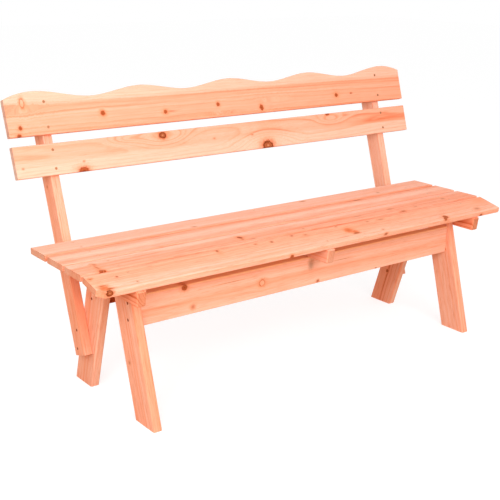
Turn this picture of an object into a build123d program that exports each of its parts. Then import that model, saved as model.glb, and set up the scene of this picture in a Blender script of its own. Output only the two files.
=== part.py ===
from build123d import *

import os
from math import cos, radians, sin, tan

# A slatted garden bench of planed fir. Two A-shaped trestles of raking legs are joined by a front
# and a rear rail. Three battens under the seat carry four slats, the front one turned down for the
# knees. Two uprights screwed to the rear legs rake backwards and carry two back boards, the upper
# one sawn to a wavy crest. Millimetres; X runs along the bench, the sitter faces -Y, Z is up, and
# the origin is on the floor, in the middle of the bench's length and depth.

# ---------------------------------------------------------------- driving dimensions

seat_length = 1500          # slats and back boards are cut to one length
seat_height = 426           # top of the flat slats above the floor
board_thickness = 18        # slats and back boards
slat_width = 88
slat_gap = 12
flat_slats = 3              # the front slat comes on top of these
front_slat_tilt = 13.5      # degrees, front edge down
corner_clip = 19            # sawn off the front slat's left corner

frame_thickness = 27        # legs, rails, battens and uprights
leg_width = 91
leg_splay = 16.5            # degrees from upright
foot_spread = 438           # toe of the front foot to heel of the rear foot
frame_setback = 190         # seat's rear edge to the middle of the trestle
end_overhang = 103          # seat's end to the outer face of the outer batten

rail_width = 88
rail_spread = 198           # between the middles of the two rails
batten_height = 62
batten_reach = 384          # seat's rear edge to the battens' front ends, at their undersides
batten_end_rake = 7         # degrees the front ends lean forwards, from there up to the slat
centre_batten_inset = 10    # its rear end lies this far in front of the seat's rear edge

back_lean = 18              # degrees from upright
back_inset = 4              # boards' front plane, in front of the seat's rear edge at seat level
lower_board_rise = 186      # up the slope from seat level to its lower edge
lower_board_width = 88
back_board_gap = 25
crest_board_width = 121     # at the outer crests
waves_per_side = 2          # crests on each side of the middle one
wave_depth = 20             # inner crest to trough
outer_crest_rise = 3.5      # the outer crests stand this much over the inner ones
outer_crest_inset = 102     # board's end to the outer crest
crest_end_drop = 17.5       # outer crest down to the board's end corner

post_width = 57             # uprights, front to back
post_head_inset = 16        # top of the uprights below the outer crests, up the slope
post_drop = 324             # seat level down the slope to the uprights' lower ends

slat_arris = 2.5            # rounded long edges
frame_arris = 5

screw_shank_diameter = 4.5
screw_head_diameter = 9
screw_clearance = 0.1       # all round, in every screw hole
pilot_tip = 1               # pilot hole past the screw's point
seat_screw_length = 45
back_screw_length = 50
rail_screw_length = 75
side_screw_length = 50      # upright to leg and batten to leg
end_screw_length = 100      # through the upright's depth into the batten's end
slat_screw_edge = 19        # slat's edge to its screws
rail_screw_spacing = 47
back_screw_edge = 18        # lower board's edges to its screws
crest_screw_edge = 20       # crest board's lower edge to its lower screws
crest_screw_spacing = 70
post_screw_rises = (1, 58)  # above the uprights' lower front corners
post_screw_setback = 44.5   # seat's rear edge to the upright's two lower screws
batten_screw_spread = 44    # between a leg's two screws, along the batten
batten_screw_step = 24      # between the same two, up and down

# ---------------------------------------------------------------- places worked out from them

tilt = radians(front_slat_tilt)
splay = radians(leg_splay)
lean = radians(back_lean)

slat_pitch = slat_width + slat_gap
seat_underside = seat_height - board_thickness
batten_bottom = seat_underside - batten_height
rail_middle = batten_bottom - rail_width / 2

crest_board_rise = lower_board_rise + lower_board_width + back_board_gap
post_head = crest_board_rise + crest_board_width - post_head_inset

# The front toes and the uprights' top rear corners are the foremost and hindmost points, and the
# origin lies midway between them.
toe_reach = frame_setback + foot_spread / 2
post_reach = post_head * sin(lean) + (board_thickness + post_width) * cos(lean) - back_inset
seat_back_y = (toe_reach - post_reach) / 2
frame_y = seat_back_y - frame_setback

batten_outer_x = seat_length / 2 - end_overhang
leg_outer_x = batten_outer_x - frame_thickness
leg_inner_x = leg_outer_x - frame_thickness
post_x = batten_outer_x - frame_thickness / 2

sides = {"left": -1, "right": 1}
ends = {"front": -1, "rear": 1}


def seat_y(setback):
    """Y of a point this far in front of the seat's rear edge."""
    return seat_back_y - setback


def slat_plane(row):
    """Top of a slat, counted from the rear, with its origin on the slat's rear edge."""
    origin = (0, seat_y(row * slat_pitch), seat_height)
    if row < flat_slats:
        return Plane(origin)
    return Plane(origin, x_dir=(1, 0, 0), z_dir=(0, -sin(tilt), cos(tilt)))


# Front of the back boards: local X along the bench, local Y up the slope from seat level.
back_plane = Plane((0, seat_y(back_inset), seat_height), x_dir=(1, 0, 0), z_dir=(0, -cos(lean), sin(lean)))
post_front = back_plane.offset(-board_thickness)
post_rear = post_front.offset(-post_width)


def post_front_y(height):
    """Y of the uprights' front faces at a height above the floor."""
    return seat_y(back_inset) + board_thickness / cos(lean) - (seat_height - height) * tan(lean)


def front_slat_underside(y):
    """Height of the front slat's underside at a given Y."""
    top_y = seat_y(flat_slats * slat_pitch)
    return seat_height - board_thickness / cos(tilt) - (top_y - y) * tan(tilt)


def leg_middle_y(end, height):
    """Y of the middle of a leg's outer face at a height."""
    return frame_y + ends[end] * (foot_spread / 2 - leg_width / cos(splay) / 2 - height * tan(splay))


def sites(plane, points):
    """Screw places on a plane: each looks out of the wood along the plane's normal."""
    return [plane.location * Location((x, y, 0)) for x, y in points]


def side_sites(side, x, points):
    """Screw places on a face that looks outwards along X; the points are (y, z)."""
    face = Plane((sides[side] * x, 0, 0), x_dir=(0, 1, 0), z_dir=(sides[side], 0, 0))
    return [face.location * Location((y, sides[side] * z, 0)) for y, z in points]


def screw_holes(places, length):
    """Countersunk hole and pilot for a screw at each place."""
    with Locations(*places):
        CounterSinkHole(
            radius=screw_shank_diameter / 2 + screw_clearance,
            counter_sink_radius=screw_head_diameter / 2 + screw_clearance,
            counter_sink_angle=90,
            depth=length + pilot_tip,
        )


def add_screws(places, length):
    """A countersunk screw at each place, its head flush with the wood."""
    shank_radius = screw_shank_diameter / 2
    head_radius = screw_head_diameter / 2
    head_depth = head_radius - shank_radius
    hung = (Align.CENTER, Align.CENTER, Align.MAX)
    with Locations(*places):
        Cylinder(radius=shank_radius, height=length, align=hung)
        Cone(bottom_radius=shank_radius, top_radius=head_radius, height=head_depth, align=hung)


def save(piece, node):
    """Label a finished piece and write it as its own node."""
    piece.part.label = node
    export_step(piece.part, f"parts/{node}.step")


os.makedirs("parts", exist_ok=True)

# ---------------------------------------------------------------- where the screws go

batten_x = {"left": -post_x, "centre": 0, "right": post_x}
slat_screw_rows = (-slat_screw_edge, slat_screw_edge - slat_width)
seat_sites = {
    (row, batten): sites(slat_plane(row), [(x, y) for y in slat_screw_rows])
    for row in range(flat_slats + 1)
    for batten, x in batten_x.items()
}

rail_y = {end: frame_y + ends[end] * rail_spread / 2 for end in ends}
rail_screw_rows = (rail_middle - rail_screw_spacing / 2, rail_middle + rail_screw_spacing / 2)
rail_sites = {
    (end, side): side_sites(side, leg_outer_x, [(rail_y[end], z) for z in rail_screw_rows])
    for end in ends
    for side in sides
}

post_foot = seat_height - post_drop * cos(lean)
post_screw_places = [(seat_y(post_screw_setback), post_foot + rise) for rise in post_screw_rises]
post_sites = {side: side_sites(side, batten_outer_x, post_screw_places) for side in sides}

batten_middle = (batten_bottom + seat_underside) / 2
half_spread, half_step = batten_screw_spread / 2, batten_screw_step / 2
batten_sites = {
    (end, side): side_sites(side, batten_outer_x, [
        (leg_middle_y(end, batten_middle) + k * half_spread, batten_middle + k * half_step)
        for k in (-1, 1)
    ])
    for end in ends
    for side in sides
}

# The upright's rear screw is square to its rear face and meets the batten's end at mid height.
end_screw_rise = (batten_middle - seat_height) / cos(lean)
end_sites = {
    side: sites(Plane(post_rear.origin, x_dir=(-1, 0, 0), z_dir=-post_rear.z_dir),
                [(-sides[side] * post_x, end_screw_rise)])
    for side in sides
}

back_screw_rows = {
    "lower": (lower_board_rise + back_screw_edge, lower_board_rise + lower_board_width - back_screw_edge),
    "crest": tuple(crest_board_rise + crest_screw_edge + k * crest_screw_spacing for k in (0, 1)),
}
back_sites = {
    (board, side): sites(back_plane, [(sides[side] * post_x, rise) for rise in rows])
    for board, rows in back_screw_rows.items()
    for side in sides
}

# ---------------------------------------------------------------- seat slats

slat_names = ("seat_slat_rear", "seat_slat_inner_rear", "seat_slat_inner_front", "seat_slat_front")

for row, name in enumerate(slat_names):
    with BuildPart() as slat:
        with BuildSketch(slat_plane(row)) as outline:
            Rectangle(seat_length, slat_width, align=(Align.CENTER, Align.MAX))
            if row == flat_slats:
                left_front = outline.vertices().group_by(Axis.Y)[0].sort_by(Axis.X)[0]
                chamfer(left_front, length=corner_clip)
        extrude(amount=-board_thickness)
        fillet(slat.edges().filter_by(Axis.X), radius=slat_arris)
        for batten in batten_x:
            screw_holes(seat_sites[row, batten], seat_screw_length)
    save(slat, name)

# ---------------------------------------------------------------- battens under the seat

# The battens' top follows the slats: flat, then down at the front slat's slope, which the raking
# front end meets a little further forward than the batten's own underside.
slope_start = seat_y(flat_slats * slat_pitch) + (board_thickness / cos(tilt) - board_thickness) / tan(tilt)
batten_front = seat_y(batten_reach)
rake = radians(batten_end_rake)
nose_height = (front_slat_underside(batten_front) - batten_bottom) / (1 + tan(tilt) * tan(rake))
nose_top = (batten_front - nose_height * tan(rake), batten_bottom + nose_height)

for name, x in batten_x.items():
    with BuildPart() as batten:
        with BuildSketch(Plane.YZ.offset(x - frame_thickness / 2)):
            if name == "centre":
                rear_top = rear_bottom = seat_y(centre_batten_inset)
            else:
                rear_top = post_front_y(seat_underside)
                rear_bottom = post_front_y(batten_bottom)
            Polygon(
                (batten_front, batten_bottom),
                (rear_bottom, batten_bottom),
                (rear_top, seat_underside),
                (slope_start, seat_underside),
                nose_top,
                align=None,
            )
        extrude(amount=frame_thickness)
        front_end = batten.faces().sort_by(Axis.Y)[0]
        nose = front_end.edges().sort_by(Axis.Z)[:-1]
        underside = batten.faces().sort_by(Axis.Z)[0].edges().filter_by(Axis.Y)
        fillet(nose + underside, radius=frame_arris)
        for row in range(flat_slats + 1):
            screw_holes(seat_sites[row, name], seat_screw_length)
        if name in sides:
            for end in ends:
                screw_holes(batten_sites[end, name], side_screw_length)
            screw_holes(end_sites[name], end_screw_length)
    save(batten, f"batten_{name}")

# ---------------------------------------------------------------- trestle legs

for end, forward in ends.items():
    for side in sides:
        foot = frame_y + forward * foot_spread / 2
        foot_inner = foot - forward * leg_width / cos(splay)
        climb = -forward * seat_underside * tan(splay)
        with BuildPart() as leg:
            with BuildSketch(Plane.YZ.offset(min(sides[side] * leg_inner_x, sides[side] * leg_outer_x))):
                Polygon(
                    (foot, 0),
                    (foot_inner, 0),
                    (foot_inner + climb, seat_underside),
                    (foot + climb, seat_underside),
                    align=None,
                )
            extrude(amount=frame_thickness)
            along_leg = Axis((0, 0, 0), (0, climb, seat_underside))
            fillet(leg.edges().filter_by(along_leg), radius=frame_arris)
            screw_holes(rail_sites[end, side], rail_screw_length)
            screw_holes(batten_sites[end, side], side_screw_length)
            if end == "rear":
                screw_holes(post_sites[side], side_screw_length)
        save(leg, f"{end}_leg_{side}")

# ---------------------------------------------------------------- rails between the trestles

for end in ends:
    with BuildPart() as rail:
        with BuildSketch(Plane.YZ):
            with Locations((rail_y[end], rail_middle)):
                RectangleRounded(frame_thickness, rail_width, slat_arris)
        extrude(amount=leg_inner_x, both=True)
        for side in sides:
            screw_holes(rail_sites[end, side], rail_screw_length)
    save(rail, f"{end}_rail")

# ---------------------------------------------------------------- uprights of the back

for side, outward in sides.items():
    with BuildPart() as post:
        with BuildSketch(post_front):
            with Locations((outward * post_x, (post_head - post_drop) / 2)):
                Rectangle(frame_thickness, post_head + post_drop)
        extrude(amount=-post_width)
        up_the_back = Axis((0, 0, 0), tuple(back_plane.y_dir))
        fillet(post.edges().filter_by(up_the_back), radius=slat_arris)
        screw_holes(post_sites[side], side_screw_length)
        screw_holes(end_sites[side], end_screw_length)
        for board in back_screw_rows:
            screw_holes(back_sites[board, side], back_screw_length)
    save(post, f"upright_{side}")

# ---------------------------------------------------------------- back boards

with BuildPart() as lower_board:
    with BuildSketch(back_plane):
        with Locations((0, lower_board_rise + lower_board_width / 2)):
            Rectangle(seat_length, lower_board_width)
    extrude(amount=-board_thickness)
    fillet(lower_board.edges().filter_by(Axis.X), radius=slat_arris)
    for side in sides:
        screw_holes(back_sites["lower", side], back_screw_length)
save(lower_board, "back_board_lower")

# The crest is one smooth line through evenly spaced crests and troughs. The two outer crests, over
# the uprights, stand a little higher, and from them the board falls away to its end corners.
outer_crest = crest_board_rise + crest_board_width
inner_crest = outer_crest - outer_crest_rise
half_length = seat_length / 2
half_wave = (half_length - outer_crest_inset) / (2 * waves_per_side)
crest_line = [(-half_length, outer_crest - crest_end_drop)]
for step in range(-2 * waves_per_side, 2 * waves_per_side + 1):
    if abs(step) == 2 * waves_per_side:
        rise = outer_crest
    elif step % 2:
        rise = inner_crest - wave_depth
    else:
        rise = inner_crest
    crest_line.append((step * half_wave, rise))
crest_line.append((half_length, outer_crest - crest_end_drop))

with BuildPart() as crest_board:
    with BuildSketch(back_plane):
        with BuildLine():
            wave = Spline(*crest_line)
            lower_edge = [(half_length, crest_board_rise), (-half_length, crest_board_rise)]
            Polyline(wave @ 1, *lower_edge, wave @ 0)
        make_face()
    extrude(amount=-board_thickness)
    long_edges = crest_board.edges().filter_by(GeomType.BSPLINE) + crest_board.edges().filter_by(Axis.X)
    fillet(long_edges, radius=slat_arris)
    for side in sides:
        screw_holes(back_sites["crest", side], back_screw_length)
save(crest_board, "back_board_crest")

# ---------------------------------------------------------------- screws

screw_sets = {
    "seat_screws": (seat_sites, seat_screw_length),
    "rail_screws": (rail_sites, rail_screw_length),
    "batten_screws": (batten_sites, side_screw_length),
    "upright_screws": (post_sites, side_screw_length),
    "upright_end_screws": (end_sites, end_screw_length),
    "back_screws": (back_sites, back_screw_length),
}

for name, (places, length) in screw_sets.items():
    with BuildPart() as screws:
        for group in places.values():
            add_screws(group, length)
    save(screws, name)

print(f"seat rear edge at y {seat_back_y:.2f}, trestle middle at y {frame_y:.2f}")
print(f"crest at z {seat_height + outer_crest * cos(lean):.1f}")
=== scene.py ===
# %% [markdown]
# # A slatted garden bench of planed fir
#
# Two A-shaped trestles carry a seat of four slats and a raked back of two boards, the upper one
# sawn to a wavy crest. Everything is softwood, planed and left bare, and held by countersunk
# screws. The joinery arrives finished from the CAD model, so this lesson gives the bench what CAD
# leaves out: the grain, knots and sapwood of each board, real screws, and a place to stand.

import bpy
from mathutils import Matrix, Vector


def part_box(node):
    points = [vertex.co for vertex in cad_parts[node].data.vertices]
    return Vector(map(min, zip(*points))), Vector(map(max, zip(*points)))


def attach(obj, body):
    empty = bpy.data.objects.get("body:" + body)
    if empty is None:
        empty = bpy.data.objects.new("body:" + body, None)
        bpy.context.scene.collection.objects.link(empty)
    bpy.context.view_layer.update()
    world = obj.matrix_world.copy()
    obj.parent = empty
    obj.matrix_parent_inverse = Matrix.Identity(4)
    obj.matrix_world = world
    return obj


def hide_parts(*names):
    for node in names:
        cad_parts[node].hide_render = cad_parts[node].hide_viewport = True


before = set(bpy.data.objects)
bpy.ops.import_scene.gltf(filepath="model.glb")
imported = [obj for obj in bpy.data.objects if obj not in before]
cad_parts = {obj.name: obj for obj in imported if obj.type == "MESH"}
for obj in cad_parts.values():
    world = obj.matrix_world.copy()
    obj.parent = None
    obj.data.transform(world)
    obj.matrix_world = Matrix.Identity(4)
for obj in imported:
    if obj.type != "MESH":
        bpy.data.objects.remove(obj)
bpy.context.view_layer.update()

# %% [markdown]
# ## Tools used all through
#
# Sizes of the wood and the screws are in millimetres, as a joiner would give them; the camera's, the
# lamps' and the floor's are in metres. Colours are the hex codes that a colour picker gives. Shaders
# work in linear light, so one function converts the codes. A second one adds a node with its
# settings and its links, which keeps each material readable from top to bottom. It finds an input by
# its name, or by its number among those that the node shows, and a node given as a value stands for
# its first output. The nodes used most have short names.

# %% Units, colours and the node helper
import random
from math import cos, pi, radians, sin, tau

import bpy
from mathutils import Euler, Matrix, Vector

MM = 0.001

MATH = "ShaderNodeMath"
VECTOR = "ShaderNodeVectorMath"
NOISE = "ShaderNodeTexNoise"
REMAP = "ShaderNodeMapRange"
RAMP = "ShaderNodeValToRGB"
MIX = "ShaderNodeMix"


def linear(code, cover=1.0):
    """An sRGB hex code as the linear colour that a shader socket takes."""
    shares = [int(code[i:i + 2], 16) / 255 for i in (1, 3, 5)]
    return (*[s / 12.92 if s <= 0.04045 else ((s + 0.055) / 1.055) ** 2.4 for s in shares], cover)


def add_node(tree, kind, takes=None, stops=None, **settings):
    """Add a node, set its options, fill or link its inputs, and lay out its colour ramp."""
    node = tree.nodes.new(kind)
    for name, value in settings.items():
        setattr(node, name, value)
    shown = [s for s in node.inputs if s.enabled]
    for key, value in (takes or {}).items():
        socket = shown[key] if isinstance(key, int) else [s for s in shown if s.name == key][0]
        if isinstance(value, bpy.types.Node):
            value = [s for s in value.outputs if s.enabled][0]
        if isinstance(value, bpy.types.NodeSocket):
            tree.links.new(value, socket)
        else:
            socket.default_value = value
    if stops:
        ramp = node.color_ramp
        ramp.elements.remove(ramp.elements[1])
        ramp.elements[0].position, ramp.elements[0].color = stops[0]
        for position, colour in stops[1:]:
            ramp.elements.new(position).color = colour
    return node


def empty_material(name):
    """A material with nothing in its node tree yet."""
    material = bpy.data.materials.new(name)
    material.use_nodes = True
    material.node_tree.nodes.clear()
    return material


print("salmon heartwood #f7a67c in linear light:", [round(c, 3) for c in linear("#f7a67c")])

# %% [markdown]
# ## The camera
#
# The bench is seen from its left front, a little above seat height, with a short telephoto lens.
# The camera comes first, because everything after is judged through this view. Three angles place
# it: how far it is turned from straight ahead, how far it looks down, and the slight roll of a
# hand-held shot.

# %% Camera
camera_place = (-1.7455, -2.1551, 1.1611)
camera_turn = radians(37.13)
camera_dip = radians(19.10)
camera_roll = radians(0.81)
camera_lens = 66.73         # mm, on film 36 mm wide
camera_shift = (0.0176, 0.0694)

bpy.ops.object.camera_add(location=camera_place)
camera = bpy.context.object
aim = Euler((pi / 2 - camera_dip, 0, -camera_turn)).to_matrix() @ Matrix.Rotation(camera_roll, 3, "Z")
camera.rotation_euler = aim.to_euler()
camera.data.lens = camera_lens
camera.data.shift_x, camera.data.shift_y = camera_shift
bpy.context.scene.camera = camera
bpy.context.scene.view_settings.view_transform = "Standard"
print("camera", camera_place, "lens", camera_lens)

# %% [markdown]
# ## Studio light
#
# Pale softwood looks right under a broad, even light. A white dome gives most of it, a little
# brighter above than at the sides. Three softboxes give the planes of each board their difference:
# a strong one high in front, a weak one overhead for the seat, and one at the left that lights the
# boards' ends and the trestles' outer faces. The eye and any shiny screw see the dome at full white.

# %% World
dome_zenith = 0.78          # what the wood receives from above
dome_horizon = 0.72         # and from the sides
backdrop_level = 1.0        # what the camera and shiny metal see

world = bpy.data.worlds.new("White studio dome")
bpy.context.scene.world = world
world.use_nodes = True
sky = world.node_tree
sky.nodes.clear()
ray = add_node(sky, "ShaderNodeLightPath")
seen = add_node(sky, MATH, {
    0: ray.outputs["Is Camera Ray"], 1: ray.outputs["Is Glossy Ray"],
}, operation="MAXIMUM")
seen = add_node(sky, MATH, {0: seen, 1: ray.outputs["Is Transmission Ray"]}, operation="MAXIMUM")
heading = add_node(sky, "ShaderNodeTexCoord")
height = add_node(sky, "ShaderNodeSeparateXYZ", {0: heading.outputs["Object"]})
level = add_node(sky, REMAP, {
    "Value": height.outputs["Z"], "To Min": dome_horizon, "To Max": dome_zenith,
})
dome = add_node(sky, "ShaderNodeBackground", {"Color": linear("#ffffff"), "Strength": level})
backdrop = add_node(sky, "ShaderNodeBackground", {"Color": linear("#ffffff"), "Strength": backdrop_level})
shown = add_node(sky, "ShaderNodeMixShader", {0: seen, 1: dome, 2: backdrop})
add_node(sky, "ShaderNodeOutputWorld", {"Surface": shown})
print("dome", dome_horizon, "to", dome_zenith, "on the wood,", backdrop_level, "to the eye")

# %% Softboxes
softboxes = {
    "Softbox front": {"place": (-0.45, -2.8, 1.75), "target": (0, -0.2, 0.4), "size": 1.6, "watts": 49},
    "Softbox overhead": {"place": (-0.3, -0.6, 3.2), "target": (0, -0.1, 0.4), "size": 2.0, "watts": 5},
    "Softbox left": {"place": (-2.3, -1.5, 1.55), "target": (-0.6, -0.1, 0.4), "size": 1.2, "watts": 34},
}
for name, box in softboxes.items():
    place, target = Vector(box["place"]), Vector(box["target"])
    bpy.ops.object.light_add(type="AREA", location=place)
    lamp = bpy.context.object
    lamp.name = name
    lamp.rotation_euler = (target - place).to_track_quat("-Z", "Y").to_euler()
    lamp.data.size = box["size"]
    lamp.data.energy = box["watts"]
    print(name, round((target - place).length, 2), "m away")

# %% [markdown]
# ## The floor
#
# A plain pale floor that fades into the backdrop. What it throws up into the trestles is warm,
# as from a board floor beside the paper sweep, and keeps the shade under the seat orange. For the
# eye it is matt white paint, lifted so that away from the bench's soft shadow it is as white as the
# backdrop behind it.

# %% Floor
floor_size = 30             # metres
floor_lift = 0.68           # light that the paint adds for the eye

bpy.ops.mesh.primitive_plane_add(size=floor_size, location=(0, 0, 0))
floor = bpy.context.object
floor.name = "Floor"
paint = empty_material("Studio floor, matt paint, rolled")
tree = paint.node_tree
ray = add_node(tree, "ShaderNodeLightPath")
warm = add_node(tree, "ShaderNodeBsdfDiffuse", {"Color": linear("#ccaa84")})
shaded = add_node(tree, "ShaderNodeBsdfDiffuse", {"Color": linear("#acacac")})
glow = add_node(tree, "ShaderNodeEmission", {"Color": linear("#ffffff"), "Strength": floor_lift})
lifted = add_node(tree, "ShaderNodeAddShader", {0: shaded, 1: glow})
shown = add_node(tree, "ShaderNodeMixShader", {0: ray.outputs["Is Camera Ray"], 1: warm, 2: lifted})
add_node(tree, "ShaderNodeOutputMaterial", {"Surface": shown})
floor.data.materials.append(paint)
print("floor", floor_size, "m wide")

# %% [markdown]
# ## How a board is cut from the log
#
# A board shows the rings of the tree it was sawn from. If the pith, the tree's centre, lies well
# below the face, the rings run along the board as stripes, and on the board's end they are arcs.
# One solid pattern gives faces, edges and ends that agree with each other, so each board gets its
# own coordinates: millimetres from its middle, X along the grain, Y across the face, Z out of the
# face. The directions of grain and face are those of the joinery.

# %% Directions of grain and face
leg_splay = radians(16.5)
back_lean = radians(18)
front_slat_tilt = radians(13.5)

ALONG = Vector((1, 0, 0))
FRONT = Vector((0, -1, 0))
UP = Vector((0, 0, 1))
LEFT = Vector((-1, 0, 0))
TIPPED_UP = Vector((0, -sin(front_slat_tilt), cos(front_slat_tilt)))
BACK_FACE = Vector((0, -cos(back_lean), sin(back_lean)))
UP_THE_BACK = Vector((0, sin(back_lean), cos(back_lean)))
UP_FRONT_LEG = Vector((0, sin(leg_splay), cos(leg_splay)))
UP_REAR_LEG = Vector((0, -sin(leg_splay), cos(leg_splay)))


def board_turn(grain, face):
    """Rotation that carries X onto the grain and Z onto the face."""
    return Matrix((grain, face.cross(grain), face)).transposed().to_euler()


def middle(node):
    """Middle of a CAD node's box."""
    low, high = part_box(node)
    return (low + high) / 2


def board_place(tree, node, grain, face):
    """Where a point lies on its board, in millimetres from the board's middle."""
    where = add_node(tree, "ShaderNodeTexCoord")
    return add_node(tree, "ShaderNodeMapping", {
        "Vector": where.outputs["Object"],
        "Location": middle(node),
        "Rotation": board_turn(grain, face),
        "Scale": (MM, MM, MM),
    }, vector_type="TEXTURE")


print("crest board's middle:", [round(c, 3) for c in middle("back_board_crest")])

# %% [markdown]
# ## Knots
#
# A knot is a branch that the trunk grew round. The grain parts before it and closes behind it like
# water round a stone, and the same formula draws it: each point is shifted across the grain by its
# distance from the knot's middle, divided by the square of that distance in knot radii. The
# smallest of those distances also tells the paint how near a point is to any knot.
#
# A large branch also pushes the rings towards the bark, in a hump. Where a saw cuts that hump level,
# the board shows it as the contour lines of a hill, ovals inside each other round the knot. So the
# point's depth is changed by a bell curve before the rings are counted.

# %% Grain that parts round the knots
through = 1000              # mm: a knot's depth where it passes right through the board
bark_roughness = 0.42       # how uneven a knot's outline is, in knot radii
bark_grain = 6              # mm between the bumps of that outline


def part_round_knots(tree, place, bent, knots):
    """The place as the parted grain sees it, and the distance to the nearest knot in its radii."""
    bumps = add_node(tree, NOISE, {"Vector": place, "Scale": 1 / bark_grain, "Detail": 2.0})
    uneven = add_node(tree, REMAP, {
        "Value": bumps, "To Min": 1 - bark_roughness, "To Max": 1 + bark_roughness,
    })
    nearest = None
    for x, y, along, across, *depth in knots:
        z, deep = depth or (0, through)
        away = add_node(tree, VECTOR, {0: place, 1: (x, y, z)}, operation="SUBTRACT")
        scaled = add_node(tree, VECTOR, {
            0: away, 1: (1 / along, 1 / across, 1 / deep),
        }, operation="MULTIPLY")
        radii = add_node(tree, VECTOR, {0: scaled}, operation="LENGTH")
        radii = add_node(tree, MATH, {0: radii, 1: uneven}, operation="MULTIPLY")
        outside = add_node(tree, MATH, {0: radii, 1: 1.0}, operation="MAXIMUM")
        push = add_node(tree, MATH, {0: outside, 1: -2.0}, operation="POWER")
        push = add_node(tree, MATH, {0: push, 1: -1.0}, operation="MULTIPLY")
        sideways = add_node(tree, "ShaderNodeCombineXYZ", {"Y": push})
        bent = add_node(tree, VECTOR, {0: away, 1: sideways, 2: bent}, operation="MULTIPLY_ADD")
        if nearest:
            radii = add_node(tree, MATH, {0: nearest, 1: radii}, operation="MINIMUM")
        nearest = radii
    return bent, nearest


def arch_over_branches(tree, place, bent, humps):
    """The place as the rings see it where large branches pushed them up in smooth humps."""
    for x, y, along, across, height in humps:
        away = add_node(tree, VECTOR, {0: place, 1: (x, y, 0)}, operation="SUBTRACT")
        scaled = add_node(tree, VECTOR, {0: away, 1: (1 / along, 1 / across, 0)}, operation="MULTIPLY")
        squared = add_node(tree, VECTOR, {0: scaled, 1: scaled}, operation="DOT_PRODUCT")
        falling = add_node(tree, MATH, {0: squared, 1: -1.0}, operation="MULTIPLY")
        bell = add_node(tree, MATH, {0: falling}, operation="EXPONENT")
        rise = add_node(tree, MATH, {0: bell, 1: height}, operation="MULTIPLY")
        upwards = add_node(tree, "ShaderNodeCombineXYZ", {"Z": rise})
        bent = add_node(tree, VECTOR, {0: bent, 1: upwards}, operation="ADD")
    return bent


print("a knot's outline swells and shrinks by", bark_roughness, "of its radius every", bark_grain, "mm")

# %% [markdown]
# ## Kinds of knot and mark
#
# A live branch leaves a tight knot: red-brown, ringed like a small tree, with a blush of resin in
# the wood round it. A branch that died first leaves a loose knot with a dark rim of bark. A twig
# may show only its outline, a bud leaves a brown speck and a buried one a faint mark. A branch
# that ended below the face stays hidden, but the rings still swing round it. Resin soaks the wood
# beside a large knot or blushes it farther away; on the uprights a long blush is painted shade
# instead. A grey-brown patch darkens the wood round its middle, and a warm seam is painted shade,
# lighter and less blue than the wood, that keeps the shade under the seat orange; these don't turn
# the grain. Each kind is a ramp from its middle outwards, in radii, whose cover says how much of
# the plain wood it hides.

# %% Paint for each kind of knot
knot_reach = 3              # knot radii that a ramp spans

knot_kinds = {
    "tight": [
        (0.0, "#8b3a16", 1.0), (0.3, "#a54b24", 1.0), (0.55, "#b45a32", 1.0), (0.75, "#a54b25", 1.0),
        (0.9, "#a44c27", 1.0), (1.05, "#c66438", 0.85), (1.3, "#e28154", 0.6), (1.9, "#f0926a", 0.3),
        (2.8, "#f0956a", 0.0),
    ],
    "loose": [
        (0.0, "#d19673", 1.0), (0.22, "#b5683f", 1.0), (0.45, "#9f4a26", 1.0), (0.58, "#b0603a", 1.0),
        (0.7, "#95421f", 1.0), (0.82, "#72320f", 1.0), (0.95, "#843c18", 1.0), (1.1, "#cb6a40", 0.8),
        (1.5, "#e6825a", 0.4), (2.2, "#ee9368", 0.0),
    ],
    "outlined": [
        (0.0, "#eda57c", 0.4), (0.3, "#f6bd9b", 0.15), (0.66, "#f6bd9b", 0.1), (0.84, "#cc6f44", 0.8),
        (1.0, "#c9683c", 0.9), (1.18, "#dd8457", 0.6), (1.7, "#ec9a72", 0.3), (2.4, "#f0a077", 0.0),
    ],
    "bud": [
        (0.0, "#9c4318", 0.9), (0.6, "#b0552b", 0.8), (1.0, "#cf744a", 0.5), (1.7, "#e38c64", 0.0),
    ],
    "faint": [
        (0.0, "#b85f39", 0.8), (0.5, "#c56d45", 0.7), (1.0, "#d98357", 0.4), (1.8, "#ea9468", 0.0),
    ],
    "resin": [
        (0.0, "#cc602f", 0.9), (0.6, "#d96a38", 0.85), (0.95, "#e27646", 0.75), (1.2, "#ea865b", 0.45),
        (1.8, "#f29a6e", 0.0),
    ],
    "blush": [
        (0.0, "#ee8a60", 0.6), (0.7, "#f09268", 0.45), (1.2, "#f29a70", 0.2), (1.8, "#f29a70", 0.0),
    ],
    # a soft grey-brown patch, darkest in its middle
    "grey_brown_patch": [
        (0.0, "#8f6044", 0.6), (0.5, "#a37050", 0.45), (1.2, "#d99a78", 0.0),
    ],
    # painted shade: a warm seam, lighter and less blue than the wood, for the shade under the seat
    "painted_warm_shade": [
        (0.0, "#fcbd85", 0.8), (0.8, "#fcbd85", 0.75), (1.1, "#fbbf8e", 0.0),
    ],
    "hidden": [
        (0.0, "#f0a077", 0.0), (1.0, "#f0a077", 0.0),
    ],
}
still_kinds = ("resin", "blush", "grey_brown_patch", "painted_warm_shade")      # these don't turn the grain


def paint_knots(tree, colour, nearest, kind):
    """Cover the wood with one kind of knot; also gives how much of it is covered."""
    span = add_node(tree, MATH, {0: nearest, 1: 1 / knot_reach}, operation="MULTIPLY")
    knot = add_node(tree, RAMP, {0: span}, stops=[
        (radii / knot_reach, linear(code, cover)) for radii, code, cover in knot_kinds[kind]
    ])
    cover = knot.outputs["Alpha"]
    return add_node(tree, MIX, {0: cover, 1: colour, 2: knot.outputs["Color"]}, data_type="RGBA"), cover


print("kinds of knot and mark:", ", ".join(knot_kinds))

# %% [markdown]
# ## Rings, stripes and fibres
#
# Three scales make planed fir. The tree's rings, here 6 to 9 mm apart, are pale springwood that
# ends in a thin red-brown summer line. Slow noise lets them wander a few millimetres along the
# board, because no trunk is straight. Finest are the fibres: streaks long as a finger and thin as a
# thread, drawn a little coarser than life so that they show from across a room.

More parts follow.
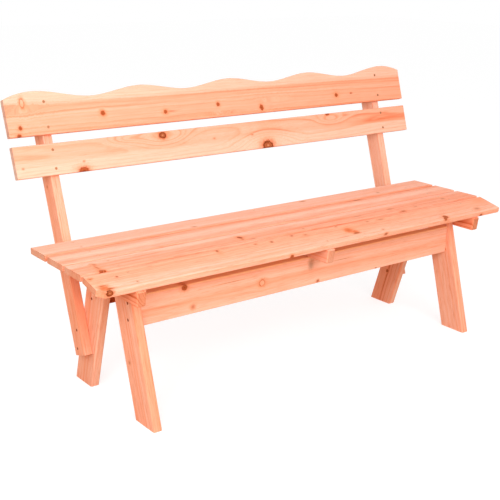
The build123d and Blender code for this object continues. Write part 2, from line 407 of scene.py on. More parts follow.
# %% Growth rings
wander_size = (420, 60, 60)     # mm between one sway of the grain and the next, along and across
trunk_taper = 0.012             # mm of radius gained per mm along the trunk
ring_change = 34                # mm over which the rings' spacing changes
ring_jitter = 1.6               # rings that a change of spacing can shift
vigour_pace = 4.3               # the rings' strength changes this much faster than their spacing
vigour_span = (0.38, 0.66)      # the part of its noise that counts as weak to strong
weak_year = 0.12                # strength of the weakest ring
year_tones = [                  # how dark the wood of one year is, from its start to its end
    (0.0, 0.25), (0.08, 0.0), (0.5, 0.08), (0.84, 0.75), (0.93, 1.0), (1.0, 0.3),
]
sway_step, change_step, ring_step = 7.3, 3.1, 1.7       # how far a seed of 1 moves each pattern


def wander(tree, place, sway, seed):
    """Let the grain sway by a few millimetres along the board."""
    slowed = tuple(1 / size for size in wander_size)
    spread = add_node(tree, VECTOR, {0: place, 1: slowed}, operation="MULTIPLY")
    spread = add_node(tree, VECTOR, {0: spread, 1: (seed * sway_step, 0, 0)}, operation="ADD")
    noise = add_node(tree, NOISE, {"Vector": spread, "Scale": 1.0, "Detail": 2.5})
    centred = add_node(tree, VECTOR, {
        0: noise.outputs["Color"], 1: (0.5, 0.5, 0.5),
    }, operation="SUBTRACT")
    return add_node(tree, VECTOR, {
        0: centred, 1: (0, 2 * sway, 2 * sway), 2: place,
    }, operation="MULTIPLY_ADD")


def rings(tree, place, pith, spacing, seed):
    """Strength of the summer line at a point: 0 in springwood, up to 1 on a strong ring."""
    across = add_node(tree, VECTOR, {0: place, 1: (0, *pith)}, operation="SUBTRACT")
    flat = add_node(tree, VECTOR, {0: across, 1: (0, 1, 1)}, operation="MULTIPLY")
    radius = add_node(tree, VECTOR, {0: flat}, operation="LENGTH")
    run = add_node(tree, "ShaderNodeSeparateXYZ", {0: place})
    radius = add_node(tree, MATH, {0: run, 1: trunk_taper, 2: radius}, operation="MULTIPLY_ADD")
    slow = add_node(tree, MATH, {
        0: radius, 1: 1 / ring_change, 2: seed * change_step,
    }, operation="MULTIPLY_ADD")
    change = add_node(tree, NOISE, {"W": slow, "Scale": 1.0, "Detail": 1.0}, noise_dimensions="1D")
    count = add_node(tree, MATH, {
        0: radius, 1: 1 / spacing, 2: seed * ring_step,
    }, operation="MULTIPLY_ADD")
    count = add_node(tree, MATH, {0: change, 1: ring_jitter, 2: count}, operation="MULTIPLY_ADD")
    year = add_node(tree, MATH, {0: count}, operation="FRACT")
    line = add_node(tree, RAMP, {0: year}, stops=[(share, (t, t, t, 1)) for share, t in year_tones])
    quick = add_node(tree, MATH, {0: slow, 1: vigour_pace}, operation="MULTIPLY")
    vigour = add_node(tree, NOISE, {"W": quick, "Scale": 1.0, "Detail": 1.0}, noise_dimensions="1D")
    vigour = add_node(tree, REMAP, {
        "Value": vigour, "From Min": vigour_span[0], "From Max": vigour_span[1], "To Min": weak_year,
    })
    return add_node(tree, MATH, {0: line, 1: vigour}, operation="MULTIPLY")


print("the rings' spacing changes within", ring_change, "mm, their strength within",
      round(ring_change / vigour_pace, 1))

# %% Streaks and fibres
streak_size = (330, 6, 6)       # mm: soft streaks of colour
fleck_size = (46, 2.2, 2.2)     # mm: short darker flecks between them
fibre_size = (80, 0.8, 0.8)     # mm: the fibres themselves
streak_span = (0.3, 0.7)        # the part of their noise that is stretched to 0 and 1
streak_step = 5.9               # how far a seed of 1 moves them


def streaks(tree, place, size, seed):
    """Noise drawn out along the grain, stretched to 0 and 1."""
    drawn = add_node(tree, VECTOR, {0: place, 1: tuple(1 / s for s in size)}, operation="MULTIPLY")
    drawn = add_node(tree, VECTOR, {0: drawn, 1: (0, seed * streak_step, 0)}, operation="ADD")
    noise = add_node(tree, NOISE, {"Vector": drawn, "Scale": 1.0, "Detail": 3.0, "Roughness": 0.6})
    return add_node(tree, REMAP, {
        "Value": noise, "From Min": streak_span[0], "From Max": streak_span[1],
    })


print("fibres", fibre_size[0], "mm long and", fibre_size[1], "mm thick")

# %% [markdown]
# ## Planed fir, unfinished
#
# Fir is cream where the living sapwood was, under the bark, and salmon in the heart, so one ramp
# from sapwood to summer line colours the whole board: the bands across it, the rings, the streaks
# and a slow drift along the grain all add to one figure, how ripe the wood is. The drift is partly
# painted shade, for light that falls off along the bench and for the shade at the uprights' feet.
# Planing leaves it smooth but matt, with a faint silk along the fibres; the summer lines are
# harder, so they stand a trace proud and shine a little more, and so do knots. Where a saw has
# crossed the fibres, the open ends are rougher and take on two tones of their own, mixed half and
# half with the colour of the face.

# %% Colours of planed fir
ripe_colours = [
    (0.0, linear("#fccfb9")), (0.2, linear("#fac0a8")), (0.45, linear("#f8af91")),
    (0.65, linear("#f6a27f")), (0.85, linear("#eb8c67")), (1.0, linear("#da774e")),
]
faded_rings = 0.35          # a summer line's strength in sapwood, as a share of that in ripe wood
ripe_enough = 0.5           # ripeness at which the summer lines have their full strength
fibre_tint, fibre_cover = linear("#eab796"), 0.5
fleck_tint, fleck_cover = linear("#e2a079"), 2      # cover for each unit of streak_depth
fleck_start = 0.6           # only the strongest of the fleck noise shows
print(len(ripe_colours), "colours from sapwood to summer line")

# %% Sawn ends
sawn_facing = (0.55, 0.95)  # how squarely a surface crosses the grain where it starts to look sawn
end_cover = 0.5             # how much of the plain colour a sawn end loses to its open pores
end_patch = 14              # mm between darker and paler places on a sawn end
patch_span = (0.38, 0.62)   # the part of their noise between the darker and the paler tone


def across_grain(tree, grain):
    """1 where the surface was sawn across the grain, 0 on faces and edges."""
    where = add_node(tree, "ShaderNodeTexCoord")
    facing = add_node(tree, VECTOR, {0: where.outputs["Normal"], 1: grain}, operation="DOT_PRODUCT")
    size = add_node(tree, MATH, {0: facing}, operation="ABSOLUTE")
    return add_node(tree, REMAP, {"Value": size, "From Min": sawn_facing[0], "From Max": sawn_facing[1]})


print("a sawn end's tones change every", end_patch, "mm")

# %% A board of planed fir
planed_roughness = 0.72
line_polish = 0.1           # what a summer line takes from that, and a knot
knot_polish = 0.05
sawn_roughness = 0.15       # and what a sawn end adds
relief_height = 0.2 * MM    # of the summer lines, drawn higher than life so that it shows
relief_strength = 0.3
fibre_relief = 0.5          # height of the fibres as a share of that
wood_ior = 1.5
wood_shine = 0.12           # bare planed wood reflects far less than varnish


def planed_fir(node, grain, face, width, bands, knots, pith=(0, -70), spacing=6.5, sway=4.0, seed=1.0,
               ripening_and_shade=0.0, ring_depth=0.35, streak_depth=0.2, end_tones=("#b97558", "#cb8d70"),
               humps=()):
    """A board's own piece of the log.

    bands are (mm across the face, ripeness) from one edge to the other. knots are lists by kind of
    (along, across, radius along, radius across) from the board's middle, then height above it and
    radius through the board where the knot doesn't pass right through. humps are (along, across,
    radius along, radius across, height). pith is (across, height), and end_tones are the darker and
    the paler places of the sawn ends. ripening_and_shade is what a metre of length adds along the
    grain, towards the right on the level boards; it is partly painted shade, for light that falls
    off along the bench and for the shade at the uprights' feet."""
    material = empty_material(f"Fir, planed, {node.replace('_', ' ')}")
    tree = material.node_tree
    place = board_place(tree, node, grain, face)
    bent, nearest = place, {}
    for kind, places in knots.items():
        parted, nearest[kind] = part_round_knots(tree, place, bent, places)
        bent = bent if kind in still_kinds else parted
    bent = arch_over_branches(tree, place, bent, humps)
    grainy = wander(tree, bent, sway, seed)
    line = rings(tree, grainy, pith, spacing, seed)
    soft = streaks(tree, grainy, streak_size, seed)
    fleck = streaks(tree, grainy, fleck_size, seed)
    fibre = streaks(tree, grainy, fibre_size, seed)
    end = across_grain(tree, grain)

    parts = add_node(tree, "ShaderNodeSeparateXYZ", {0: grainy})
    level = add_node(tree, REMAP, {
        "Value": parts.outputs["Y"], "From Min": -width / 2, "From Max": width / 2,
    })
    band = add_node(tree, RAMP, {0: level}, stops=[(0.5 + y / width, (t, t, t, 1)) for y, t in bands])
    ripe = add_node(tree, MATH, {0: parts, 1: ripening_and_shade * MM, 2: band}, operation="MULTIPLY_ADD")
    depth = add_node(tree, REMAP, {
        "Value": ripe, "From Max": ripe_enough, "To Min": faded_rings * ring_depth, "To Max": ring_depth,
    })
    ripe = add_node(tree, MATH, {0: line, 1: depth, 2: ripe}, operation="MULTIPLY_ADD")
    ripe = add_node(tree, MATH, {0: soft, 1: streak_depth, 2: ripe}, operation="MULTIPLY_ADD")
    ripe = add_node(tree, MATH, {0: ripe, 1: streak_depth / 2}, operation="SUBTRACT")
    colour = add_node(tree, RAMP, {0: ripe}, stops=ripe_colours)
    thin = add_node(tree, MATH, {0: fibre, 1: fibre_cover}, operation="MULTIPLY")
    colour = add_node(tree, MIX, {
        0: thin, 1: colour, 2: fibre_tint,
    }, data_type="RGBA", blend_type="MULTIPLY")
    short = add_node(tree, REMAP, {
        "Value": fleck, "From Min": fleck_start, "From Max": 1.0, "To Max": fleck_cover * streak_depth,
    })
    colour = add_node(tree, MIX, {
        0: short, 1: colour, 2: fleck_tint,
    }, data_type="RGBA", blend_type="MULTIPLY")

    covered = 0.0
    for kind, distance in nearest.items():
        colour, cover = paint_knots(tree, colour, distance, kind)
        covered = add_node(tree, MATH, {0: cover, 1: covered}, operation="MAXIMUM")
    pores = add_node(tree, NOISE, {"Vector": place, "Scale": 1 / end_patch, "Detail": 3.0})
    soaked = add_node(tree, RAMP, {0: pores}, stops=[
        (patch_span[0], linear(end_tones[0])), (patch_span[1], linear(end_tones[1])),
    ])
    open_pores = add_node(tree, MATH, {0: end, 1: end_cover}, operation="MULTIPLY")
    colour = add_node(tree, MIX, {0: open_pores, 1: colour, 2: soaked}, data_type="RGBA")

    rough = add_node(tree, MATH, {
        0: line, 1: -line_polish, 2: planed_roughness,
    }, operation="MULTIPLY_ADD")
    rough = add_node(tree, MATH, {0: covered, 1: -knot_polish, 2: rough}, operation="MULTIPLY_ADD")
    rough = add_node(tree, MATH, {0: end, 1: sawn_roughness, 2: rough}, operation="MULTIPLY_ADD")
    relief = add_node(tree, MATH, {0: fibre, 1: fibre_relief, 2: line}, operation="MULTIPLY_ADD")
    bump = add_node(tree, "ShaderNodeBump", {
        "Strength": relief_strength, "Distance": relief_height, "Height": relief,
    })
    wood = add_node(tree, "ShaderNodeBsdfPrincipled", {
        "Base Color": colour, "Roughness": rough, "Normal": bump, "IOR": wood_ior,
        "Specular IOR Level": wood_shine,
    })
    add_node(tree, "ShaderNodeOutputMaterial", {"Surface": wood})
    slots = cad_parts[node].data.materials
    slots.clear()
    slots.append(material)
    print(f"{node}: {sum(map(len, knots.values()))} knots, {len(tree.nodes)} nodes")


print("planed roughness", planed_roughness, "and sawn", round(planed_roughness + sawn_roughness, 2))

# %% [markdown]
# ## The back boards
#
# The crest board was sawn with its upper edge near the bark, so the crests are sapwood and a strong
# ring runs the whole length under them. The lower board has its sapwood below and lies nearly level
# with the rings, so its large knots have contour lines round them. The sawn ends of both are greyer
# than the seat's, as end grain is that stood open to the air for a while.

# %% Back boards
greyed_ends = ("#ac978e", "#c6b2a9")

planed_fir(
    "back_board_crest", ALONG, BACK_FACE, width=121, seed=2.3, pith=(-90, -34), spacing=8.5, sway=3.0,
    ripening_and_shade=0.07, ring_depth=0.4, streak_depth=0.08, end_tones=greyed_ends,
    bands=[
        (-60.5, 0.42), (-52, 0.47), (-42, 0.43), (-32, 0.38), (-22, 0.42), (-17, 0.43), (-12, 0.32),
        (-9, 0.38), (-5, 0.28), (1, 0.5), (6, 0.4), (11, 0.55), (15, 0.5), (19, 0.22), (24, 0.15),
        (30, 0.1), (38, 0.12), (60.5, 0.14),
    ],
    knots={
        "blush": [
            (-694, 20, 9, 12), (-250, -29.5, 13, 10), (438, -27.5, 14, 12), (-459, -16.5, 12, 11),
        ],
        "faint": [(-228, -29, 18, 2.5)],
        "tight": [
            (-715, -37.5, 5, 5), (-722, -57.5, 6, 4), (-459, -16.5, 6.5, 6.5), (-250, -29.5, 5.5, 5),
            (-56, -21.5, 5.5, 5.5), (111, -44.5, 6.5, 8.5), (438, -27, 6.5, 5.5),
        ],
        "outlined": [(-698, 29, 6, 13)],
        "bud": [(507, -25, 6, 3)],
        "hidden": [(170, -22, 60, 8), (-60, -48, 130, 6), (-735, 14, 80, 12)],
    },
)
planed_fir(
    "back_board_lower", ALONG, BACK_FACE, width=88, seed=4.1, pith=(10, -60), spacing=7.0, sway=7.0,
    ripening_and_shade=0.05, ring_depth=0.6, streak_depth=0.1, end_tones=greyed_ends,
    humps=[
        (-275, 32, 90, 30, 30), (112, -37, 95, 40, 36), (-400, 34, 55, 14, 14), (395, 26, 60, 16, 14),
    ],
    bands=[
        (-44, 0.05), (-30, 0.07), (-20, 0.08), (-13, 0.12), (-8, 0.13), (-3, 0.24), (0, 0.3),
        (6, 0.38), (14, 0.28), (22, 0.3), (30, 0.34), (44, 0.28),
    ],
    knots={
        "blush": [(112, -26, 36, 20), (-275, 32, 20, 14)],
        "tight": [(-550, -42, 15, 10), (383, 41, 8, 4)],
        "loose": [(-275, 32, 12, 9), (112, -37, 20, 14)],
        "faint": [
            (-92, 5, 5, 3), (55, 3, 5, 3), (-730, -17, 4, 3), (-546, -16, 4, 3), (465, 32, 13, 2.5),
        ],
    },
)

# %% [markdown]
# ## The seat
#
# Four slats from four different boards: the bands of sapwood run along them at different places,
# and each has its own small knots. The front slat is the one that a sitter's knees meet; its front
# edge is sapwood, and a branch has left two marks at its left corner.

# %% Seat slats
planed_fir(
    "seat_slat_rear", ALONG, UP, width=88, seed=5.7, pith=(10, -90), ripening_and_shade=0.06, ring_depth=0.2,
    bands=[
        (-44, 0.55), (-39, 0.36), (-31, 0.13), (-22, 0.11), (-14, 0.22), (-6, 0.22), (2, 0.23),
        (10, 0.24), (20, 0.22), (34, 0.2), (44, 0.18),
    ],
    knots={"faint": [(202, 26, 12, 6), (-265, -31, 9, 7), (502, -20, 6, 6), (-245, 41, 25, 4)]},
)
planed_fir(
    "seat_slat_inner_rear", ALONG, UP, width=88, seed=6.9, pith=(-15, -80), ripening_and_shade=0.03,
    ring_depth=0.45, streak_depth=0.28,
    bands=[
        (-44, 0.35), (-34, 0.32), (-26, 0.32), (-18, 0.32), (-9, 0.14), (6, 0.06), (14, 0.1),
        (22, 0.2), (30, 0.44), (38, 0.45), (44, 0.5),
    ],
    knots={"blush": [(-180, 42, 60, 4), (330, 42, 60, 6)], "bud": [(365, 40, 19, 5)]},
)
planed_fir(
    "seat_slat_inner_front", ALONG, UP, width=88, seed=8.2, pith=(20, -60), ripening_and_shade=0.03,
    ring_depth=0.5, streak_depth=0.3,
    bands=[
        (-44, 0.42), (-30, 0.4), (-14, 0.49), (0, 0.44), (14, 0.34), (22, 0.15), (34, 0.1), (44, 0.2),
    ],
    knots={
        "blush": [(145, -6, 45, 12), (-222, 0, 18, 20), (560, 10, 60, 10), (-690, -22, 12, 26)],
        "tight": [(-688, -44, 9, 8), (-222, 2, 6, 9)],
        "bud": [(-681, -44, 4, 4)],
        "faint": [
            (-682, 12, 6, 9), (-687, -12, 4, 20), (370, -6, 13, 5), (392, -44, 15, 5),
            (-227, -18, 6, 5), (-200, -28, 15, 4), (-10, -26, 5, 5), (220, -14, 22, 3),
            (462, -31, 10, 3), (620, -6, 9, 7),
        ],
    },
)
planed_fir(
    "seat_slat_front", ALONG, TIPPED_UP, width=88, seed=9.4, pith=(-60, -36), ripening_and_shade=0.03,
    streak_depth=0.28,
    bands=[
        (-44, 0.2), (-36, 0.24), (-31, 0.36), (-25, 0.26), (-20, 0.28), (-14, 0.28), (-8, 0.4),
        (4, 0.42), (16, 0.46), (30, 0.52), (40, 0.5), (44, 0.5),
    ],
    knots={
        "blush": [
            (-729, -21, 17, 20), (117, 8, 24, 20), (-225, -27, 75, 4), (720, 23, 34, 14),
            (-346, 26, 10, 14),
        ],
        "resin": [(-727, -26, 12, 12), (-738, 27, 7, 3), (110, 6, 14, 13), (124, -8, 11, 9)],
        "tight": [
            (497, -31, 9, 8), (488, -41, 6, 6, 9, 6), (-144.5, -44, 6, 6, -6, 6),
            (661, -44, 6, 6, -5, 4),
        ],
        "loose": [(-722, -44, 9.5, 9, 4, 7.5)],
        "bud": [
            (-726, -13, 13, 2), (-714, -31, 13, 4), (-671, 14, 4, 4), (123, -16, 14, 5),
            (-348, 37, 5, 7), (-166, 27, 6, 5), (-85, 37, 6, 4), (221, -43, 8, 4, 3, 5),
        ],
        "faint": [
            (-740, 25, 5, 5), (-220, 32, 6, 4), (87, 38, 6, 4), (65, -23, 32, 2), (210, 31, 7, 4),
            (224, -26, 6, 4), (492, -12, 60, 1.3), (660, -22, 13, 8), (265, 29, 18, 5),
            (-40, 28, 9, 5),
        ],
    },
)

# %% [markdown]
# ## Rails and battens
#
# Frame timber is 27 mm thick. The front rail shows the most of it, between the legs, with a redder
# line along its middle and painted shade along its upper edge, a warm seam that keeps the shade
# under the seat orange. Nobody chooses the rear rail or the battens for their looks, so they are
# plain. The rear rail is ripe all over and has a large dark knot low at its left end: painted
# shade, as the camera sees it only in the deep shade under the seat. The outer battens are riper
# than the centre one, which is partly painted shade for their sides and ends under the seat. Each
# batten has a seed of its own, so that no two share their rings, and its knot in another place.

# %% Rails and battens
planed_fir(
    "front_rail", ALONG, FRONT, width=88, seed=11.0, pith=(-30, -60), ripening_and_shade=-0.02,
    bands=[
        (-44, 0.12), (-36, 0.15), (-28, 0.2), (-20, 0.25), (-12, 0.32), (-3, 0.46), (3, 0.3),
        (9, 0.12), (15, 0.16), (30, 0.2), (40, 0.3), (44, 0.32),
    ],
    knots={
        # painted shade along the upper edge, where the seat's front edge shades the rail
        "painted_warm_shade": [(0, 47, 2500, 7)],
        "tight": [(-451, 36, 9, 7)],
        "outlined": [(-186, -2, 10, 9)],
        "bud": [(27, -37, 6, 5), (270, -41, 5, 2)],
        "faint": [(-424, -24, 9, 8), (125, 14, 40, 1.3), (-300, 22, 60, 1.2)],
        # a soft grey-brown patch on the face, just below the centre batten
        "grey_brown_patch": [(-3, 20, 14, 22)],
    },
)
# Painted shade: ripe all over, with a large dark knot low at its left end, as the camera sees it only in
# the deep shade under the seat.
planed_fir(
    "rear_rail", ALONG, FRONT, width=88, seed=12.6, pith=(20, -60),
    bands=[(-44, 0.8), (0, 0.95), (44, 0.9)],
    knots={
        "tight": [(-310, 12, 9, 8), (150, -24, 7, 7), (-567, -36, 14, 12)],
        "loose": [(420, 20, 10, 8)],
    },
)

reddened_ends = ("#a86444", "#b67250")
# The outer battens are riper than the centre one: partly painted shade for their sides and ends under the
# seat.
batten_ripeness_and_shade = {"batten_left": 0.5, "batten_centre": 0.2, "batten_right": 0.55}
for number, (name, ripeness) in enumerate(batten_ripeness_and_shade.items()):
    planed_fir(
        name, FRONT, LEFT, width=62, seed=14.2 + 1.9 * number, pith=(18, -45), ring_depth=0.8,
        end_tones=reddened_ends,
        bands=[(-31, ripeness - 0.05), (0, ripeness + 0.1), (31, ripeness)],
        knots={"tight": [(-70 + 60 * number, 8 - 9 * number, 6, 5)]},
    )

# %% [markdown]
# ## Legs and uprights
#
# Legs and uprights stand on end, so their grain climbs with them. They come from straighter stuff
# than the seat, with few knots. The bands run from each piece's front edge to its rear edge.

# %% Legs and uprights
# Each band list starts at the front edge, which also colours the front face. The left rear leg's pale
# front face is painted light where the seat and rail shade it, and the right rear leg's riper middle
# darkens its inner face as painted shade under the seat.
leg_boards = {
    "front_leg_left": (
        [(-45.5, 0.48), (-38, 0.25), (-22, 0.14), (0, 0.34), (25, 0.32), (45.5, 0.34)],
        {"faint": [(-42, 22, 5, 5)]},
    ),
    "front_leg_right": (
        [(-45.5, 0.4), (-36, 0.2), (0, 0.2), (45.5, 0.25)],
        {"faint": [(60, -18, 5, 5)]},
    ),
    "rear_leg_left": (
        [(-45.5, 0.14), (-38, 0.2), (-20, 0.28), (45.5, 0.32)],
        {"faint": [(95, -12, 5, 4)]},
    ),
    "rear_leg_right": (
        [(-45.5, 0.15), (-38, 0.4), (0, 0.6), (45.5, 0.55)],
        {"tight": [(-88, 7, 5, 5)]},
    ),
}
for number, (name, (bands, knots)) in enumerate(leg_boards.items()):
    climb = UP_FRONT_LEG if name.startswith("front") else UP_REAR_LEG
    planed_fir(
        name, climb, LEFT, width=91, seed=20.5 + 2.7 * number, pith=(30, -50), spacing=8.5, sway=3.0,
        ring_depth=0.6, streak_depth=0.3, bands=bands, knots=knots,
    )

# Painted shade: the drift darkens each upright towards its foot, and the long blush on the lower front
# edge darkens it where the seat shades it.
upright_ripeness = {"upright_left": 0.25, "upright_right": 0.15}
for number, (name, ripeness) in enumerate(upright_ripeness.items()):
    planed_fir(
        name, UP_THE_BACK, LEFT, width=57, seed=33.1 + 3.3 * number, pith=(-10, -60), sway=3.0,
        ripening_and_shade=-0.1, streak_depth=0.3,
        bands=[(-28.5, ripeness), (0, ripeness + 0.1), (28.5, ripeness + 0.05)],
        knots={"blush": [(-190, -28.5, 150, 8)], "faint": [(120 - 210 * number, 6, 5, 4)]},
    )

# %% [markdown]
# ## Reading the screws' places
#
# The CAD model has every screw as a plain cone and shank, flush with the wood. The real ones are
# countersunk wood screws with a cross recess and a coarse thread. Their places aren't typed in
# again: a copy of each CAD node is merged and taken apart, and each part tells where its head is,
# which way it looks and how long it is. A screw's head is its largest flat end.

# %% Find the screws in a CAD node
merge_distance = 0.01 * MM
rim_depth = 0.05 * MM       # points this near to the top of the head are its rim
end_share = 0.3             # faces farther than this share of a screw from its middle are its ends


def deselect():
    """Leave nothing selected."""
    bpy.ops.object.select_all(action="DESELECT")


def screw_places(node):
    """Middle of the head, direction out of the wood and length of each screw in a CAD node."""
    deselect()
    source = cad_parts[node]
    source.select_set(True)
    bpy.context.view_layer.objects.active = source
    bpy.ops.object.duplicate()
    bpy.ops.object.mode_set(mode="EDIT")
    bpy.ops.mesh.select_all(action="SELECT")
    bpy.ops.mesh.remove_doubles(threshold=merge_distance)
    bpy.ops.mesh.separate(type="LOOSE")
    bpy.ops.object.mode_set(mode="OBJECT")
    found = []
    for part in bpy.context.selected_objects:
        corners = [Vector(c) for c in part.bound_box]
        centre = sum(corners, Vector()) / len(corners)
        far = end_share * max(part.dimensions)
        ends = [f for f in part.data.polygons if f.normal.dot(f.center - centre) > far]
        out = max(ends, key=lambda f: f.area).normal.copy()
        heights = [out.dot(v.co) for v in part.data.vertices]
        top = max(heights)
        rim = [v.co for v, h in zip(part.data.vertices, heights) if h > top - rim_depth]
        found.append((sum(rim, Vector()) / len(rim), out, top - min(heights)))
    bpy.ops.object.delete()
    return found


screw_sets = {
    node: screw_places(node)
    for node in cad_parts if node.endswith("_screws")
}
for node, places in screw_sets.items():
    print(node, len(places), "screws of", {round(length / MM) for _, _, length in places}, "mm")

# %% [markdown]
# ## One wood screw
#
# A screw is turned and rolled, so it starts as a disc that is extruded down and resized step by
# step: head cone, plain shank, thread core and point. The thread is a small triangle wound up the
# core by a Screw modifier. The cross recess is cut with two tapered bars. The head is seen, so it
# gets the most care; the thread is hidden in the wood but is there when the bench is taken apart.

# %% Turn the head, shank and core
head_sides = 24
head_radius = 4.45 * MM
rim_height = 0.25 * MM
shank_radius = 1.75 * MM
neck_flare = 0.25 * MM      # the head's cone ends this much wider than the shank
neck_length = 0.8 * MM      # and runs into it over this length
head_length = 3.5 * MM      # what head and neck take from the shank's length
core_radius = 1.45 * MM
core_step = 0.6 * MM        # where the shank narrows to the thread's core
thread_share = 0.62         # of the screw's length
thread_loss = 1.5 * MM      # what the thread gives up, so that the tip stays clear of the hole's end
point_length = 5 * MM
tip_ratio = 0.12


def draw_down(depth, ratio):
    """Extrude the selected end face down and resize it."""
    bpy.ops.mesh.extrude_region_move(TRANSFORM_OT_translate={"value": (0, 0, -depth)})
    bpy.ops.transform.resize(value=(ratio, ratio, 1))


def turned_core(length):
    """Head, shank, core and point of a screw, head up at the origin."""
    bpy.ops.mesh.primitive_circle_add(vertices=head_sides, radius=head_radius, fill_type="NGON")
    bpy.ops.object.mode_set(mode="EDIT")
    bpy.ops.mesh.select_all(action="SELECT")
    neck_radius = shank_radius + neck_flare
    draw_down(rim_height, 1.0)
    draw_down(head_radius - shank_radius - 2 * rim_height, neck_radius / head_radius)
    draw_down(neck_length, shank_radius / neck_radius)
    draw_down(length * (1 - thread_share) - head_length, 1.0)
    draw_down(core_step, core_radius / shank_radius)
    draw_down(length * thread_share - point_length - thread_loss, 1.0)
    draw_down(point_length, tip_ratio)
    bpy.ops.mesh.select_all(action="SELECT")
    bpy.ops.mesh.normals_make_consistent(inside=False)
    bpy.ops.object.mode_set(mode="OBJECT")
    return bpy.context.object


print("a screw's head is", round(2 * head_radius / MM, 1), "mm across")

# %% Wind the thread
thread_pitch = 2.2 * MM
thread_steps = 12           # to one turn
ridge_radius = 0.62 * MM
ridge_start = 0.8           # of the point's length, from the tip up


def wound_thread(length):
    """A closed helical ridge, wound up the core with a Screw modifier."""
    start = (core_radius, 0, -length + point_length * ridge_start)
    bpy.ops.mesh.primitive_circle_add(
        vertices=3, radius=ridge_radius, fill_type="NOTHING", location=start,
        rotation=(0, pi / 2, pi / 2))
    bpy.ops.object.transform_apply()
    ridge = bpy.context.object
    winding = ridge.modifiers.new("Thread", "SCREW")
    winding.angle = tau
    winding.screw_offset = thread_pitch
    winding.iterations = int((length * thread_share - point_length) / thread_pitch)
    winding.steps = winding.render_steps = thread_steps
    bpy.ops.object.modifier_apply(modifier=winding.name)
    bpy.ops.object.mode_set(mode="EDIT")
    bpy.ops.mesh.select_all(action="SELECT")
    bpy.ops.mesh.fill_holes(sides=3)
    bpy.ops.mesh.select_all(action="SELECT")
    bpy.ops.mesh.normals_make_consistent(inside=False)
    bpy.ops.object.mode_set(mode="OBJECT")
    return ridge


print("its thread climbs", thread_pitch / MM, "mm to a turn")

# %% Cut the cross recess
recess_length = 4.8 * MM
recess_width = 0.95 * MM
recess_depth = 2.0 * MM
recess_taper = 0.3          # the bars' size at the bottom, as a share of that at the top
downwards = -0.9            # a normal's height below which a face looks down


def cut_recess(screw):
    """Two tapered bars taken out of the head, one across the other."""
    for turn in (0, pi / 2):
        deselect()
        bpy.ops.mesh.primitive_cube_add(size=1, rotation=(0, 0, turn))
        bar = bpy.context.object
        bar.scale = (recess_length, recess_width, 2 * recess_depth)
        bpy.ops.object.transform_apply()
        bpy.ops.object.mode_set(mode="EDIT")
        bpy.ops.mesh.select_all(action="DESELECT")
        bpy.ops.object.mode_set(mode="OBJECT")
        for face in bar.data.polygons:
            face.select = face.normal.z < downwards
        bpy.ops.object.mode_set(mode="EDIT")
        bpy.ops.transform.resize(
            value=(recess_taper, recess_taper, 1), center_override=(0, 0, -recess_depth))
        bpy.ops.object.mode_set(mode="OBJECT")
        deselect()
        screw.select_set(True)
        bpy.context.view_layer.objects.active = screw
        cut = screw.modifiers.new("Recess", "BOOLEAN")
        cut.operation = "DIFFERENCE"
        cut.object = bar
        bpy.ops.object.modifier_apply(modifier=cut.name)
        bpy.data.objects.remove(bar)


print("its recess is", recess_depth / MM, "mm deep")

# %% [markdown]
# ## Zinc plated, bronzed and browned steel
#
# The seat is screwed with zinc plated steel under a light golden passivation, which is hardly seen
# on fir. The back's screws are bronzed and a little darker. The frame's have a brown, oiled finish,
# made darker still as painted shade for the countersunk holes that they sit in, and read as dark
# brown dots. All are metal, so their colour is in the reflection, patchy over a few millimetres
# where handling has dulled it, and a little rough.

# %% Screw finishes
patch_size = 2.5 * MM
patch_share = (0.35, 0.65)  # the part of the noise between the middling and the dark tone
screw_finishes = {}


def screw_steel(name, dark, middling, light, smooth, dull):
    """A plated or browned screw's metal, from three tones of its tarnish and two roughnesses."""
    material = screw_finishes[name] = empty_material(name)
    tree = material.node_tree
    where = add_node(tree, "ShaderNodeTexCoord")
    patches = add_node(tree, NOISE, {
        "Vector": where.outputs["Object"], "Scale": 1 / patch_size, "Detail": 3.0,
    })
    tarnish = add_node(tree, RAMP, {0: patches}, stops=[
        (patch_share[0], linear(middling)), (0.5, linear(light)), (patch_share[1], linear(dark)),
    ])
    dulled = add_node(tree, REMAP, {
        "Value": patches, "From Min": patch_share[0], "From Max": patch_share[1],
        "To Min": smooth, "To Max": dull,
    })
    steel = add_node(tree, "ShaderNodeBsdfPrincipled", {
        "Base Color": tarnish, "Roughness": dulled, "Metallic": 1.0,
    })
    add_node(tree, "ShaderNodeOutputMaterial", {"Surface": steel})
    return material


golden = screw_steel(
    "Steel, zinc plated, golden passivated, dulled", "#c58c66", "#d79f79", "#e6b491", 0.38, 0.52)
bronzed = screw_steel("Steel, bronzed, dulled", "#98603e", "#a9704d", "#bb8560", 0.42, 0.56)
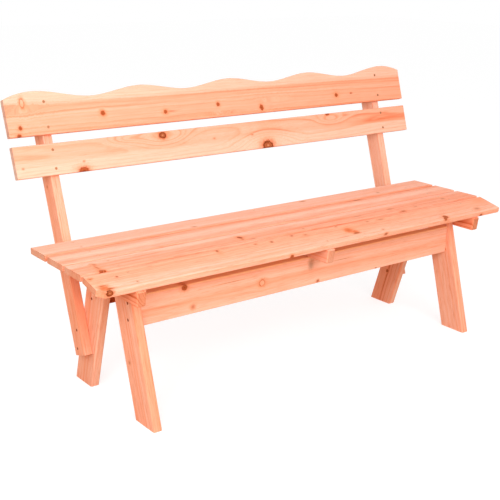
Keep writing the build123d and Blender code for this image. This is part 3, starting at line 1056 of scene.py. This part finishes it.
# A brown, oiled finish, darkened as painted shade for the countersunk holes round the frame's screws
browned_dark_as_shade = screw_steel("Steel, browned, oiled, dark as painted shade", "#7a2a04", "#8c3407", "#9c400f", 0.5, 0.65)
finish_of = {"seat_screws": golden, "back_screws": bronzed}
print("screw finishes:", "; ".join(screw_finishes))

# %% [markdown]
# ## All the screws of a joint
#
# Each length is modelled once. The copies are turned to look out of the wood, sunk by half a
# millimetre as a driver leaves them, and each stops at its own angle, because nobody lines up the
# slots of a garden bench. All the screws of one CAD node are joined into one piece that stands for
# it.

# %% Drive them
sunk = 0.5 * MM
smooth_below = radians(35)  # sharper edges than this stay sharp
patterns = {}
turns = random.Random(7)


def screw_pattern(length):
    """The one modelled screw of a length."""
    if length not in patterns:
        deselect()
        core = turned_core(length * MM)
        cut_recess(core)
        deselect()
        ridge = wound_thread(length * MM)
        core.select_set(True)
        ridge.select_set(True)
        bpy.context.view_layer.objects.active = core
        bpy.ops.object.join()
        bpy.ops.object.shade_smooth_by_angle(angle=smooth_below)
        core.name = f"screw_pattern_{length}"
        patterns[length] = core
        print(core.name, len(core.data.polygons), "faces")
    return patterns[length]


for node, places in screw_sets.items():
    driven = []
    for head, out, length in places:
        pattern = screw_pattern(round(length / MM))
        deselect()
        pattern.select_set(True)
        bpy.context.view_layer.objects.active = pattern
        bpy.ops.object.duplicate()
        copy = bpy.context.object
        stop = Matrix.Rotation(turns.uniform(0, tau), 4, "Z")
        facing = out.to_track_quat("Z", "Y").to_matrix().to_4x4()
        copy.matrix_world = Matrix.Translation(head - sunk * out) @ facing @ stop
        driven.append(copy)
    deselect()
    for copy in driven:
        copy.select_set(True)
    bpy.context.view_layer.objects.active = driven[0]
    bpy.ops.object.join()
    bpy.ops.object.transform_apply()
    piece = bpy.context.object
    piece.name = f"{node}_driven"
    piece.data.name = piece.name
    piece.data.materials.clear()
    piece.data.materials.append(finish_of.get(node, browned_dark_as_shade))
    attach(piece, "root")
    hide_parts(node)
    print(piece.name, len(driven), "screws,", len(piece.data.polygons), "faces")

for pattern in patterns.values():
    bpy.data.objects.remove(pattern)
